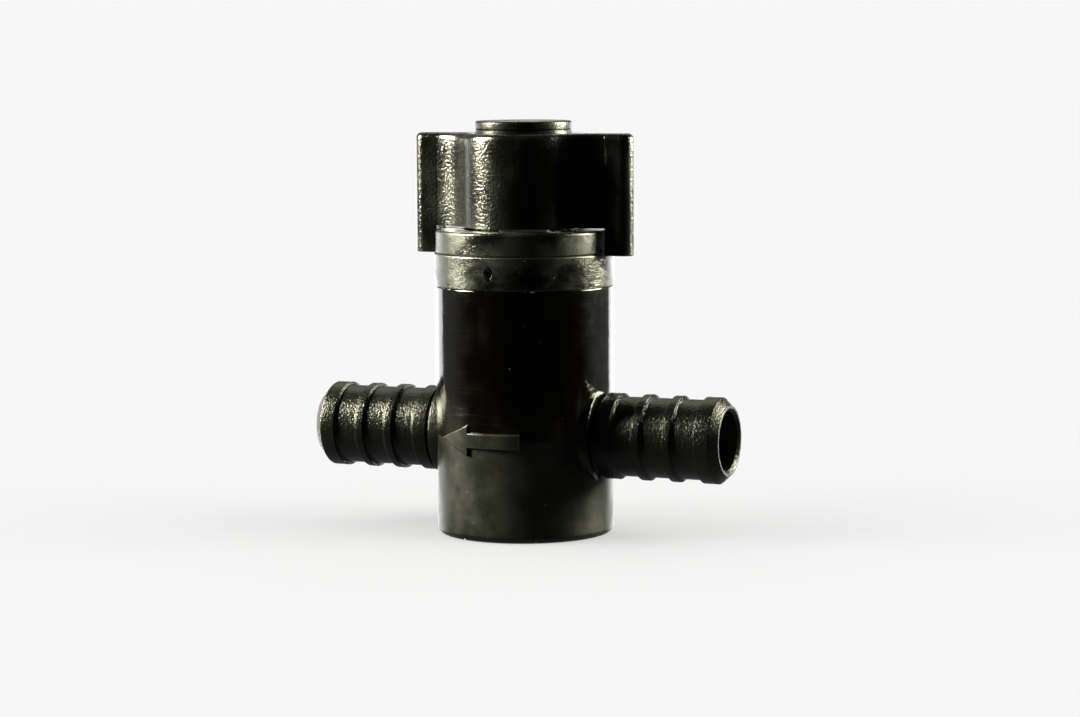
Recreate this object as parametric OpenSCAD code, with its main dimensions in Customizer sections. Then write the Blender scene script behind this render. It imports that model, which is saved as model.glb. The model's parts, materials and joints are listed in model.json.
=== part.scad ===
// Barbed quarter-turn ball valve for half-inch hose, all sizes in millimetres.
// The origin is the centre of the foot, on the surface it stands on. +X runs along the pipe, +Z is up
// and -Y is the side that carries the flow arrow, which points to -X.

/* [Flow path] */
// radius of the straight way through the barbs, the seats and the ball
bore_radius = 4.2; // [3:0.1:6]
// height of the pipe axis above the foot
port_height = 14.35; // [12:0.05:20]
// wall of the ball between its bore and its outside, measured across the middle
ball_wall = 2.55; // [2:0.05:4]
// depth of the countersink at each open end
mouth_depth = 0.4; // [0.1:0.05:1]
// how much wider than the way through the mouth opens
mouth_flare = 0.4; // [0.1:0.05:1]

/* [Body] */
// wall between the ball chamber and the outside of the body
body_wall = 2.2; // [1.6:0.05:4]
// height of the rim under the bonnet
body_height = 35.4; // [28:0.1:50]
// how much slimmer the body is below its parting line
parting_step = 0.08; // [0:0.01:0.3]
// chamfer round the edge of the foot
foot_chamfer = 0.8; // [0.1:0.05:1.5]
// width of the rim the foot stands on
foot_rim = 3.1; // [2:0.1:5]
// depth of the hollow under the foot
foot_hollow = 3.0; // [1:0.1:4]
// height of the neck that stands up inside the bonnet skirt
neck_height = 3.2; // [2:0.1:5]
// wall of that neck
neck_wall = 0.98; // [0.8:0.02:2]

/* [Barbs] */
// wall between the way through and the outside of the barb shank
barb_wall = 1.45; // [1:0.05:2.5]
// how far the rib crests stand out of the shank
crest_rise = 0.45; // [0.2:0.05:0.8]
// length of each barb, from the round of the body to its open end
barb_length = 18.3; // [14:0.1:26]
// how far the boss round each barb root stands out of the shank
boss_rise = 1.25; // [0.6:0.05:2]
// how far the boss face is set back from the round of the body
boss_setback = 0.4; // [0.1:0.05:1.5]
// how far the root rib starts beyond the round of the body
root_rib_start = 0.4; // [0.2:0.05:1]
// width of the root rib
root_rib_width = 1.9; // [1:0.05:3]
// distance between one rib and the next
rib_pitch = 4.55; // [3.5:0.05:6]
// width of each rib crest
rib_crest = 1.05; // [0.5:0.05:2]
// length of the ramp on the open side of each rib
rib_ramp = 0.45; // [0.1:0.05:1.5]
// width of the crest at the open end
lip_crest = 2.1; // [1:0.05:3]
// length of the lead-in taper at the open end
lip_taper = 1.2; // [0.5:0.05:2]
// how far the taper comes in at the open end
lip_drop = 1.15; // [0.4:0.05:1.3]

/* [Flow arrow] */
// distance of the arrow tip from the middle of the body
arrow_tip = 8.65; // [6:0.05:10]
// distance of the back of the arrow head from the middle
arrow_neck = 3.4; // [2:0.05:5]
// distance of the tail from the middle
arrow_tail = 4.26; // [2:0.05:8]
// height of the arrow head
arrow_head = 4.6; // [3:0.1:7]
// height of the arrow shaft
arrow_shaft = 2.35; // [1:0.05:4]
// how far the arrow stands out of the body
arrow_relief = 0.4; // [0.2:0.05:0.6]

/* [Grey rings] */
// how far the bonnet ring stands out over the body
bonnet_overhang = 0.1; // [0:0.02:0.5]
// height of the bonnet ring
bonnet_ring_height = 4.75; // [3:0.05:8]
// how far the stop ring is set in from the bonnet ring
stop_ring_step = 0.2; // [0.05:0.05:0.6]
// height of the stop ring
stop_ring_height = 3.3; // [2.5:0.05:6]
// chamfer on the top edge of the stop ring and the bonnet ring
ring_chamfer = 0.3; // [0.1:0.05:0.8]
// width of the oval dimple in the front of the bonnet ring
dimple_width = 0.95; // [0.5:0.05:2]
// height of that dimple
dimple_height = 2.0; // [1:0.05:3]
// depth of that dimple
dimple_depth = 0.35; // [0.1:0.05:0.8]
// floor of the stop ring, which holds the gland bush down
stop_floor = 1.5; // [1:0.05:2]
// wall of the bonnet plug round its hollow core
plug_wall = 2.0; // [1.5:0.1:3]
// thickness of the bonnet plug's floor over the thrust washer
plug_floor = 1.7; // [1.2:0.1:3]
// wall of the tower that guides the stem
tower_wall = 2.2; // [1.8:0.1:3]
// wall of the gland bush
bush_wall = 1.2; // [0.8:0.1:1.6]
// depth of the gland bush below its flange
bush_depth = 3.4; // [2:0.1:5]
// thickness of the gland bush's flange
bush_flange = 1.1; // [0.6:0.05:1.5]
// wall of the spigot that centres the stop ring
spigot_wall = 0.9; // [0.6:0.05:1.5]
// depth of that spigot
spigot_depth = 1.5; // [0.8:0.1:2]
// width of the anti-turn keys between the two grey rings
key_width = 2.0; // [1:0.1:3]
// height of those keys
key_height = 0.7; // [0.3:0.05:1]

/* [Handle] */
// radius of the round hub of the handle
drum_radius = 8.6; // [7:0.1:10]
// height of the handle from its underside to the face under the cap
handle_height = 13.3; // [10:0.1:20]
// gap between the stop ring and the underside of the handle
handle_gap = 0.3; // [0.2:0.05:1]
// thickness of each wing
wing_thickness = 3.2; // [2:0.1:5]
// how far each wing tip stands out beyond the bonnet ring
wing_overhang = 3.9; // [2.5:0.1:7]
// gap between the bonnet ring and the tab hanging from each wing
tab_gap = 0.25; // [0.2:0.05:1]
// how far each tab reaches down below the joint between the grey rings
tab_drop = 0.25; // [0:0.05:1]
// rounding of the handle's top edges
handle_rounding = 0.9; // [0.3:0.05:1.2]
// wall of the hub of the handle
drum_wall = 1.6; // [1.2:0.1:3]
// thickness of the top of the handle
handle_top_wall = 2.15; // [1.5:0.05:3]
// depth of the screw well in the top
well_depth = 3.65; // [3:0.05:5]
// thickness between the floor of that well and the stem
web_thickness = 1.9; // [1.2:0.1:3]
// wall of the post that holds the stem
post_wall = 1.6; // [1.2:0.1:2.5]
// wall left round the screw well
well_wall = 1.38; // [1:0.02:2]
// how far beyond the bonnet ring the hollow beside each wing ends
crease_gap = 0.1; // [0:0.05:0.5]

/* [Cap] */
// how far the cap is set in from the hub of the handle
cap_setback = 1.72; // [0.8:0.02:3]
// height of the cap above the handle
cap_height = 1.7; // [1:0.05:3]
// chamfer on the top edge of the cap
cap_chamfer = 0.35; // [0.1:0.05:0.8]
// depth of the groove round the side of the cap
cap_waist = 0.13; // [0:0.01:0.3]
// height of the thin flange under that groove
cap_flange = 0.3; // [0.1:0.05:0.6]
// height of the slope from that groove to the full width of the cap
cap_slope = 0.4; // [0.1:0.05:0.6]
// depth of the snap skirt that goes down the well
cap_skirt = 1.1; // [0.6:0.1:1.5]
// wall of that skirt
cap_skirt_wall = 0.8; // [0.5:0.05:1.5]

/* [Stem] */
// radius of the stem shaft
stem_radius = 3.6; // [3:0.1:5]
// how far the retaining collar stands out of the shaft
collar_rise = 1.3; // [0.8:0.1:2]
// thickness of the retaining collar
collar_height = 1.6; // [1:0.1:3]
// thickness of the thrust washer over the collar
thrust_thickness = 0.45; // [0.3:0.05:1]
// width of the tang that turns the ball
tang_width = 2.0; // [1.5:0.1:3]
// depth of the tang below the collar
tang_depth = 1.9; // [1:0.1:2.5]
// half the distance across the two driving flats at the top
drive_flat = 2.7; // [2.4:0.05:3.4]
// radius of the brass insert for the screw
insert_radius = 2.0; // [1.8:0.05:2.3]
// length of that insert
insert_length = 5.8; // [4:0.1:8]
// depth of the groove that locks the insert in the stem
insert_groove = 0.25; // [0.1:0.05:0.4]

/* [Seals] */
// thickness of the cord of the two stem O-rings
stem_seal_cord = 1.0; // [0.8:0.05:1.2]
// thickness of the cord of the bonnet O-ring
bonnet_seal_cord = 1.1; // [0.8:0.05:1.4]
// thickness of the cord of the O-rings behind the seats
seat_seal_cord = 1.0; // [0.8:0.05:1.4]
// how far each seat stands out beyond the way through
seat_width = 2.15; // [1.6:0.05:3]
// how much wider than the way through each seat is bored
seat_relief = 0.2; // [0:0.05:0.4]
// length of each seat from the ball's contact circle to its back
seat_length = 2.4; // [2:0.05:4]
// wall of the spigot at the back of each seat
seat_spigot = 0.75; // [0.6:0.05:1.2]
// width of the ring of each seat that wraps the ball
seat_wrap = 0.95; // [0.5:0.05:1.4]

/* [Screw] */
// radius of the handle screw's thread
screw_radius = 1.5; // [1.2:0.05:2]
// radius of its pan head
screw_head_radius = 2.6; // [2.2:0.05:3]
// height of its pan head
screw_head_height = 1.5; // [1:0.05:2]
// width of each arm of the cross recess in the head
cross_width = 0.7; // [0.4:0.05:1]
// reach of each arm from the middle
cross_reach = 1.5; // [1:0.1:2]
// depth of the cross recess
cross_depth = 0.8; // [0.5:0.05:1.2]
// length of the screw under its head
screw_length = 6.6; // [5:0.1:9]
// thickness of the washer under the head
washer_thickness = 0.5; // [0.3:0.05:1]

/* [Fits] */
// clearance between the ball and its seats
ball_clearance = 0.05; // [0.02:0.01:0.1]
// radial clearance of the stem in the bonnet
stem_clearance = 0.08; // [0.02:0.01:0.1]
// clearance between pieces that are pushed together and stay together
push_clearance = 0.08; // [0.02:0.01:0.2]
// clearance of each O-ring in its groove
seal_clearance = 0.03; // [0.01:0.01:0.1]
// gap between moving pieces that never touch
free_gap = 0.3; // [0.2:0.05:0.6]
// clearance of the stem tang in the slot of the ball
slot_clearance = 0.1; // [0.05:0.01:0.2]
// spare angle at each end of the handle's quarter turn, in degrees
stop_spare = 2.5; // [1:0.5:5]
// angle covered by each of the two lugs under the handle, in degrees
lug_angle = 39; // [25:1:50]

/* [Hidden] */
$fn = 96;
quarter_turn = 90;
half_turn = 180;
// how far pieces of one solid run into each other, and how far a cutter runs past the face it opens
overlap = 0.05;
cutter_reach = 1;
// turn of each flat that makes up a rounded edge, in degrees
arc_step = 30;

// ball and seats
ball_radius = bore_radius + ball_wall;
contact_radius = ball_radius + ball_clearance;
seat_bore = bore_radius + seat_relief;
contact_x = sqrt(pow(contact_radius, 2) - pow(seat_bore, 2));
seat_back = contact_x + seat_length;
seat_radius = bore_radius + seat_width;
seat_front_radius = bore_radius + seat_wrap;
seat_front = sqrt(pow(contact_radius, 2) - pow(seat_front_radius, 2));
seat_spigot_radius = bore_radius + seat_spigot;
seat_seal_room = seat_seal_cord + 2 * seal_clearance;
seat_shoulder = seat_back - seat_seal_room;
seat_seal_radius = seat_spigot_radius + seal_clearance + seat_seal_cord / 2;

// chamber and body
chamber_radius = norm([seat_back, seat_radius]) + 2 * free_gap;
chamber_floor = port_height - ball_radius - 1.5 * free_gap;
chamber_shelf = port_height + ball_radius + 3 * free_gap;
body_radius = chamber_radius + body_wall;
lower_radius = body_radius - parting_step;
neck_radius = chamber_radius + neck_wall;
neck_top = body_height + neck_height;
pipe_half_length = body_radius + barb_length;

// barbs
shank_radius = bore_radius + barb_wall;
crest_radius = shank_radius + crest_rise;
boss_radius = shank_radius + boss_rise;
boss_face = body_radius - boss_setback;
root_rib = body_radius + root_rib_start;
root_rib_end = root_rib + root_rib_width;
rib_count = 2;
lip_end_radius = crest_radius - lip_drop;
lip_start = pipe_half_length - lip_taper - lip_crest;

// grey rings
bonnet_radius = body_radius + bonnet_overhang;
bonnet_top = body_height + bonnet_ring_height;
stop_ring_radius = bonnet_radius - stop_ring_step;
stop_ring_top = bonnet_top + stop_ring_height;
stop_floor_top = bonnet_top + stop_floor;
skirt_radius = neck_radius + push_clearance;
skirt_ceiling = neck_top + push_clearance;
plug_radius = chamber_radius - push_clearance;
core_radius = plug_radius - plug_wall;
plug_bottom = chamber_shelf + free_gap / 2;
collar_bottom = plug_bottom - 2.5 * free_gap;
collar_radius = stem_radius + collar_rise;
collar_top = collar_bottom + collar_height;
collar_room = collar_radius + free_gap;
thrust_face = collar_top + thrust_thickness + ball_clearance;
plug_floor_top = thrust_face + plug_floor;
guide_radius = stem_radius + stem_clearance;
tower_radius = guide_radius + tower_wall;
tower_top = bonnet_top - bush_flange - ball_clearance;
bush_radius = guide_radius + bush_wall;
bush_seat = tower_top - bush_depth;
bonnet_seal_floor = plug_radius - bonnet_seal_cord;
bonnet_seal_room = bonnet_seal_cord + 4 * seal_clearance;
bonnet_seal_height = (plug_bottom + 2 * neck_top) / 3;
bonnet_seal_radius = bonnet_seal_floor + seal_clearance + bonnet_seal_cord / 2;
key_radius = (skirt_radius + core_radius) / 2;

// stop geometry, angles counted from +X
recess_radius = drum_radius + free_gap / 3;
lug_outer = recess_radius - free_gap;
lug_inner = drum_radius - drum_wall;
abutment_angle = half_turn - lug_angle - quarter_turn - 2 * stop_spare;
abutment_start = stop_spare + lug_angle / 2;
lug_bottom = stop_floor_top + free_gap;

// handle
handle_bottom = stop_ring_top + handle_gap;
handle_top = handle_bottom + handle_height;
wing_half = wing_thickness / 2;
wing_tip = bonnet_radius + wing_overhang;
crease_x = bonnet_radius + crease_gap;
// radius of the hollow that is tangent to the hub and meets the wing at the crease
hollow_radius = (pow(crease_x, 2) + pow(wing_half, 2) - pow(drum_radius, 2))
    / (2 * (drum_radius - wing_half));
hollow_y = wing_half + hollow_radius;
// how far each hollow bites past the hub's round, so that the two meet in an edge
hollow_bite = 0.04;
tab_inner = bonnet_radius + tab_gap;
tab_bottom = bonnet_top - tab_drop;
well_floor = handle_top - well_depth;
socket_top = well_floor - web_thickness;
core_top = handle_top - handle_top_wall;
stem_top = socket_top - push_clearance;
socket_radius = stem_radius + push_clearance;
post_radius = socket_radius + post_wall;
well_radius = post_radius - well_wall;

// stem seals
stem_seal_outer = guide_radius - seal_clearance;
stem_seal_radius = stem_seal_outer - stem_seal_cord / 2;
stem_groove_radius = stem_seal_outer - stem_seal_cord - seal_clearance;
stem_groove_room = stem_seal_cord + 4 * seal_clearance;
// the two stem seals share the guide evenly between the thrust washer and the bush
stem_seal_low = thrust_face + (bush_seat - thrust_face) / 3;
stem_seal_high = thrust_face + 2 * (bush_seat - thrust_face) / 3;
tang_bottom = collar_bottom - tang_depth;
slot_floor = tang_bottom - slot_clearance;
slot_width = tang_width + 2 * slot_clearance;

// cap, screw and washer
cap_radius = drum_radius - cap_setback;
cap_top = handle_top + cap_height;
washer_top = well_floor + washer_thickness;
screw_head_top = washer_top + screw_head_height;
screw_tip = washer_top - screw_length;
insert_bottom = stem_top - insert_length;

// a profile of [radius, distance] points turned about the pipe axis, towards +X
module along_pipe(points) {
    translate([0, 0, port_height])
        rotate([0, quarter_turn, 0])
            rotate_extrude()
                polygon(points);
}

// the same on the left
module along_pipe_left(points) {
    mirror([1, 0, 0])
        along_pipe(points);
}

// a ring with a round cord, lying flat
module seal_ring(middle_radius, cord, height) {
    translate([0, 0, height])
        rotate_extrude()
            translate([middle_radius, 0])
                circle(d = cord);
}

// a plain tube standing on the given height
module tube(outer, inner, low, high) {
    rotate_extrude()
        polygon([[inner, low], [outer, low], [outer, high], [inner, high]]);
}

// a sector of a tube that starts at the given angle from +X
module tube_sector(outer, inner, low, high, start, sweep) {
    rotate([0, 0, start])
        rotate_extrude(angle = sweep)
            polygon([[inner, low], [outer, low], [outer, high], [inner, high]]);
}

// outline of one rib: a steep face on the body side and a short ramp on the open side
function rib_outline(crest_end) = [
    [shank_radius, crest_end - rib_crest],
    [crest_radius, crest_end - rib_crest],
    [crest_radius, crest_end],
    [shank_radius, crest_end + rib_ramp]
];

// outline of the barb from inside the body wall to the open end
barb_outline = concat(
    [
        [overlap, seat_back],
        [boss_radius, seat_back],
        [boss_radius, boss_face],
        [shank_radius, boss_face],
        [shank_radius, root_rib],
        [crest_radius, root_rib],
        [crest_radius, root_rib_end],
        [shank_radius, root_rib_end + rib_ramp]
    ],
    [for (i = [1:rib_count]) each rib_outline(root_rib_end + i * rib_pitch)],
    [
        [shank_radius, lip_start],
        [crest_radius, lip_start],
        [crest_radius, lip_start + lip_crest],
        [lip_end_radius, pipe_half_length],
        [overlap, pipe_half_length]
    ]
);

// the way through one barb, with its countersunk mouth
bore_outline = [
    [0, 0],
    [bore_radius, 0],
    [bore_radius, pipe_half_length - mouth_depth],
    [bore_radius + mouth_flare, pipe_half_length],
    [bore_radius + mouth_flare, pipe_half_length + overlap],
    [0, pipe_half_length + overlap]
];

// flow arrow seen from the front, its tip to the left
module arrow_outline() {
    polygon([
        [-arrow_tip, 0],
        [-arrow_neck, arrow_head / 2],
        [-arrow_neck, arrow_shaft / 2],
        [arrow_tail, arrow_shaft / 2],
        [arrow_tail, -arrow_shaft / 2],
        [-arrow_neck, -arrow_shaft / 2],
        [-arrow_neck, -arrow_head / 2]
    ]);
}

// the arrow as a raised plate that follows the round of the body
module arrow_plate() {
    intersection() {
        translate([0, 0, port_height])
            rotate([quarter_turn, 0, 0])
                linear_extrude(height = 2 * body_radius)
                    arrow_outline();
        tube(body_radius + arrow_relief, chamber_radius + overlap, 0, body_height);
    }
}

// outside of the round body with its neck
module body_outside() {
    rotate_extrude()
        polygon([
            [0, 0],
            [lower_radius - foot_chamfer, 0],
            [lower_radius, foot_chamfer],
            [lower_radius, port_height],
            [body_radius, port_height],
            [body_radius, body_height],
            [neck_radius, body_height],
            [neck_radius, neck_top],
            [0, neck_top]
        ]);
}

// room inside the body: two flat walls beside the ball, fully round above the shelf
module body_inside() {
    intersection() {
        translate([0, 0, chamber_floor])
            cylinder(r = chamber_radius, h = chamber_shelf - chamber_floor + overlap);
        translate([-seat_back, -body_radius, 0])
            cube([2 * seat_back, 2 * body_radius, body_height]);
    }
    translate([0, 0, chamber_shelf])
        cylinder(r = chamber_radius, h = neck_top - chamber_shelf + overlap);
    translate([0, 0, -overlap])
        cylinder(r = lower_radius - foot_rim, h = foot_hollow + overlap);
}

module valve_body() {
    color([0.035, 0.035, 0.033])
        difference() {
            union() {
                body_outside();
                along_pipe(barb_outline);
                along_pipe_left(barb_outline);
                arrow_plate();
            }
            body_inside();
            along_pipe(bore_outline);
            along_pipe_left(bore_outline);
        }
}

// oval cut in the front of the bonnet ring
module dimple_cut() {
    oval_rise = (dimple_height - dimple_width) / 2;
    translate([0, dimple_depth - bonnet_radius, (body_height + bonnet_top) / 2])
        rotate([quarter_turn, 0, 0])
            linear_extrude(height = body_wall)
                union() {
                    translate([0, oval_rise])
                        circle(d = dimple_width);
                    translate([0, -oval_rise])
                        circle(d = dimple_width);
                    square([dimple_width, 2 * oval_rise], center = true);
                }
}

// the two keys that stop the grey rings turning on each other, grown all round by the given amount
module ring_keys(grow) {
    for (side = [-1, 1])
        translate([0, side * key_radius, bonnet_top + (key_height + grow) / 2])
            cube([key_width + 2 * grow, key_width + 2 * grow, key_height + grow], center = true);
}

module bonnet() {
    half_groove = bonnet_seal_room / 2;
    color([0.16, 0.16, 0.15]) {
        difference() {
            rotate_extrude()
                polygon([
                    [skirt_radius, body_height],
                    [bonnet_radius, body_height],
                    [bonnet_radius, bonnet_top],
                    [core_radius, bonnet_top],
                    [core_radius, plug_floor_top],
                    [tower_radius, plug_floor_top],
                    [tower_radius, tower_top],
                    [bush_radius, tower_top],
                    [bush_radius, bush_seat],
                    [guide_radius, bush_seat],
                    [guide_radius, thrust_face],
                    [collar_room, thrust_face],
                    [collar_room, plug_bottom],
                    [plug_radius - free_gap, plug_bottom],
                    [plug_radius, plug_bottom + free_gap],
                    [plug_radius, bonnet_seal_height - half_groove],
                    [bonnet_seal_floor, bonnet_seal_height - half_groove],
                    [bonnet_seal_floor, bonnet_seal_height + half_groove],
                    [plug_radius, bonnet_seal_height + half_groove],
                    [plug_radius, skirt_ceiling],
                    [skirt_radius, skirt_ceiling]
                ]);
            dimple_cut();
        }
        ring_keys(0);
    }
}

module stop_ring() {
    spigot_radius = core_radius - push_clearance;
    abutment_height = stop_ring_height - stop_floor - free_gap;
    color([0.17, 0.17, 0.16])
        difference() {
            union() {
                rotate_extrude()
                    polygon([
                        [guide_radius + free_gap, bonnet_top],
                        [spigot_radius - spigot_wall, bonnet_top],
                        [spigot_radius - spigot_wall, bonnet_top - spigot_depth],
                        [spigot_radius, bonnet_top - spigot_depth],
                        [spigot_radius, bonnet_top],
                        [stop_ring_radius, bonnet_top],
                        [stop_ring_radius, stop_ring_top - ring_chamfer],
                        [stop_ring_radius - ring_chamfer, stop_ring_top],
                        [recess_radius, stop_ring_top],
                        [recess_radius, stop_floor_top],
                        [guide_radius + free_gap, stop_floor_top]
                    ]);
                for (side = [0, 1])
                    tube_sector(recess_radius + overlap, lug_inner, stop_floor_top - overlap,
                        stop_floor_top + abutment_height, abutment_start + side * half_turn, abutment_angle);
            }
            ring_keys(push_clearance);
        }
}

module bonnet_o_ring() {
    color([0.02, 0.02, 0.02])
        seal_ring(bonnet_seal_radius, bonnet_seal_cord, bonnet_seal_height);
}

module ball() {
    color([0.80, 0.80, 0.78])
        difference() {
            translate([0, 0, port_height])
                sphere(r = ball_radius);
            translate([-ball_radius, 0, port_height])
                rotate([0, quarter_turn, 0])
                    cylinder(r = bore_radius, h = 2 * ball_radius);
            translate([-slot_width / 2, -ball_radius, slot_floor])
                cube([slot_width, 2 * ball_radius, ball_radius]);
        }
}

// outside of one seat, a stepped ring that leaves room behind it for its O-ring
seat_outline = [
    [seat_bore, seat_front - overlap],
    [seat_radius, seat_front - overlap],
    [seat_radius, seat_shoulder],
    [seat_spigot_radius, seat_shoulder],
    [seat_spigot_radius, seat_back],
    [seat_bore, seat_back]
];

module seat_outlet() {
    color([0.90, 0.90, 0.87])
        difference() {
            along_pipe_left(seat_outline);
            translate([0, 0, port_height])
                sphere(r = contact_radius);
        }
}

module seat_inlet() {
    color([0.90, 0.90, 0.87])
        difference() {
            along_pipe(seat_outline);
            translate([0, 0, port_height])
                sphere(r = contact_radius);
        }
}

// O-ring behind a seat, on the given side of the ball
module seat_o_ring(side) {
    translate([side * (seat_back + seat_shoulder) / 2, 0, port_height])
        rotate([0, quarter_turn, 0])
            seal_ring(seat_seal_radius, seat_seal_cord, 0);
}

module seat_o_ring_inlet() {
    color([0.02, 0.02, 0.02])
        seat_o_ring(1);
}

module seat_o_ring_outlet() {
    color([0.02, 0.02, 0.02])
        seat_o_ring(-1);
}

// flats cut on the top of the stem, grown by the given clearance when they cut the handle
module drive_section(low, high, clearance) {
    intersection() {
        translate([0, 0, low])
            cylinder(r = stem_radius + clearance, h = high - low);
        translate([-stem_radius - cutter_reach, -drive_flat - clearance, low])
            cube([2 * (stem_radius + cutter_reach), 2 * (drive_flat + clearance), high - low]);
    }
}

module stem() {
    half_groove = stem_groove_room / 2;
    color([0.80, 0.79, 0.74])
        difference() {
            union() {
                rotate_extrude()
                    polygon([
                        [0, collar_bottom],
                        [collar_radius, collar_bottom],
                        [collar_radius, collar_top],
                        [stem_radius, collar_top],
                        [stem_radius, stem_seal_low - half_groove],
                        [stem_groove_radius, stem_seal_low - half_groove],
                        [stem_groove_radius, stem_seal_low + half_groove],
                        [stem_radius, stem_seal_low + half_groove],
                        [stem_radius, stem_seal_high - half_groove],
                        [stem_groove_radius, stem_seal_high - half_groove],
                        [stem_groove_radius, stem_seal_high + half_groove],
                        [stem_radius, stem_seal_high + half_groove],
                        [stem_radius, handle_bottom],
                        [0, handle_bottom]
                    ]);
                drive_section(handle_bottom - overlap, stem_top, 0);
                intersection() {
                    translate([0, 0, tang_bottom])
                        cylinder(r = stem_radius, h = tang_depth + overlap);
                    translate([-tang_width / 2, -stem_radius, tang_bottom])
                        cube([tang_width, 2 * stem_radius, tang_depth + overlap]);
                }
            }
            translate([0, 0, insert_bottom])
                cylinder(r = insert_radius, h = insert_length + overlap);
        }
}

module stem_o_ring_lower() {
    color([0.02, 0.02, 0.02])
        seal_ring(stem_seal_radius, stem_seal_cord, stem_seal_low);
}

module stem_o_ring_upper() {
    color([0.02, 0.02, 0.02])
        seal_ring(stem_seal_radius, stem_seal_cord, stem_seal_high);
}

module thrust_washer() {
    color([0.90, 0.90, 0.87])
        tube(collar_radius, guide_radius, collar_top, collar_top + thrust_thickness);
}

module gland_bush() {
    bush_push = bush_radius - ball_clearance;
    flange_radius = tower_radius + free_gap;
    color([0.85, 0.84, 0.80])
        rotate_extrude()
            polygon([
                [guide_radius, bush_seat + ball_clearance],
                [bush_push, bush_seat + ball_clearance],
                [bush_push, tower_top],
                [flange_radius, tower_top],
                [flange_radius, tower_top + bush_flange],
                [guide_radius, tower_top + bush_flange]
            ]);
}

module stem_insert() {
    groove_low = insert_bottom + insert_length / 3;
    groove_high = insert_bottom + 2 * insert_length / 3;
    color([0.72, 0.55, 0.25])
        rotate_extrude()
            polygon([
                [screw_radius, insert_bottom],
                [insert_radius, insert_bottom],
                [insert_radius, groove_low],
                [insert_radius - insert_groove, groove_low],
                [insert_radius - insert_groove, groove_high],
                [insert_radius, groove_high],
                [insert_radius, stem_top],
                [screw_radius, stem_top]
            ]);
}

// points round a top outer edge, from its side face to its top face
function edge_arc(side, top, rounding) =
    [for (turn = [0:arc_step:quarter_turn])
        [side - rounding * (1 - cos(turn)), top - rounding * (1 - sin(turn))]];

// a round post with its top edge rounded
module rounded_post(side, low, high, rounding) {
    rotate_extrude()
        polygon(concat([[0, low], [side, low]], edge_arc(side, high, rounding), [[0, high]]));
}

// hollow cutter beside a wing: straight below, flaring out round the top edge it leaves
module hollow_cutter(side_x, side_y) {
    low = tab_bottom - cutter_reach;
    cut_radius = hollow_radius + hollow_bite;
    flare = [for (turn = [0:arc_step:quarter_turn])
        [cut_radius + handle_rounding * (1 - cos(turn)), handle_top - handle_rounding * (1 - sin(turn))]];
    translate([side_x * crease_x, side_y * hollow_y, 0])
        rotate_extrude()
            polygon(concat(
                [[0, low], [cut_radius, low]],
                flare,
                [[cut_radius + handle_rounding, handle_top + overlap], [0, handle_top + overlap]]
            ));
}

// web that joins the hub to both wings, before the hollows are cut
module web_block() {
    inside = drum_radius / 2;
    share = inside / crease_x;
    translate([0, 0, handle_bottom])
        linear_extrude(height = handle_height)
            polygon([
                [-crease_x, hollow_y],
                [-inside, hollow_y * share],
                [inside, hollow_y * share],
                [crease_x, hollow_y],
                [crease_x, -hollow_y],
                [inside, -hollow_y * share],
                [-inside, -hollow_y * share],
                [-crease_x, -hollow_y]
            ]);
}

// straight outer part of one wing with its rounded tip
module wing_end(side) {
    tip_centre = wing_tip - wing_half;
    right_edge = edge_arc(wing_half, handle_top, handle_rounding);
    left_edge = [for (i = [len(right_edge) - 1:-1:0]) [-right_edge[i][0], right_edge[i][1]]];
    mirror([side > 0 ? 0 : 1, 0, 0]) {
        translate([crease_x - overlap, 0, 0])
            rotate([quarter_turn, 0, quarter_turn])
                linear_extrude(height = tip_centre - crease_x + overlap)
                    polygon(concat(
                        [[-wing_half, handle_bottom], [wing_half, handle_bottom]],
                        right_edge,
                        left_edge
                    ));
        translate([tip_centre, 0, 0])
            rounded_post(wing_half, tab_bottom, handle_top, handle_rounding);
        translate([tab_inner, -wing_half, tab_bottom])
            cube([tip_centre - tab_inner, wing_thickness, handle_bottom - tab_bottom + overlap]);
    }
}

module handle() {
    color([0.03, 0.03, 0.03]) {
        difference() {
            union() {
                rounded_post(drum_radius, handle_bottom, handle_top, handle_rounding);
                difference() {
                    web_block();
                    for (side_x = [-1, 1], side_y = [-1, 1])
                        hollow_cutter(side_x, side_y);
                }
                wing_end(1);
                wing_end(-1);
            }
            difference() {
                translate([0, 0, handle_bottom - overlap])
                    cylinder(r = lug_inner, h = core_top - handle_bottom + overlap);
                translate([0, 0, handle_bottom - 2 * overlap])
                    cylinder(r = post_radius, h = handle_height);
            }
            drive_section(handle_bottom - overlap, socket_top, push_clearance);
            translate([0, 0, socket_top - overlap])
                cylinder(r = screw_radius + push_clearance, h = handle_height);
            translate([0, 0, well_floor])
                cylinder(r = well_radius, h = well_depth + overlap);
        }
        for (side = [0, 1])
            tube_sector(lug_outer, lug_inner, lug_bottom, handle_bottom + overlap,
                side * half_turn - lug_angle / 2, lug_angle);
    }
}

module handle_screw() {
    color([0.62, 0.62, 0.62])
        difference() {
            union() {
                rounded_post(screw_head_radius, washer_top, screw_head_top, screw_head_height / 3);
                translate([0, 0, screw_tip])
                    cylinder(r = screw_radius, h = screw_length + overlap);
            }
            for (turn = [0, quarter_turn])
                rotate([0, 0, turn])
                    translate([-cross_reach, -cross_width / 2, screw_head_top - cross_depth])
                        cube([2 * cross_reach, cross_width, cross_depth + overlap]);
        }
}

module handle_washer() {
    color([0.62, 0.62, 0.62])
        tube(well_radius - free_gap, screw_radius + push_clearance, well_floor, washer_top);
}

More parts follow.
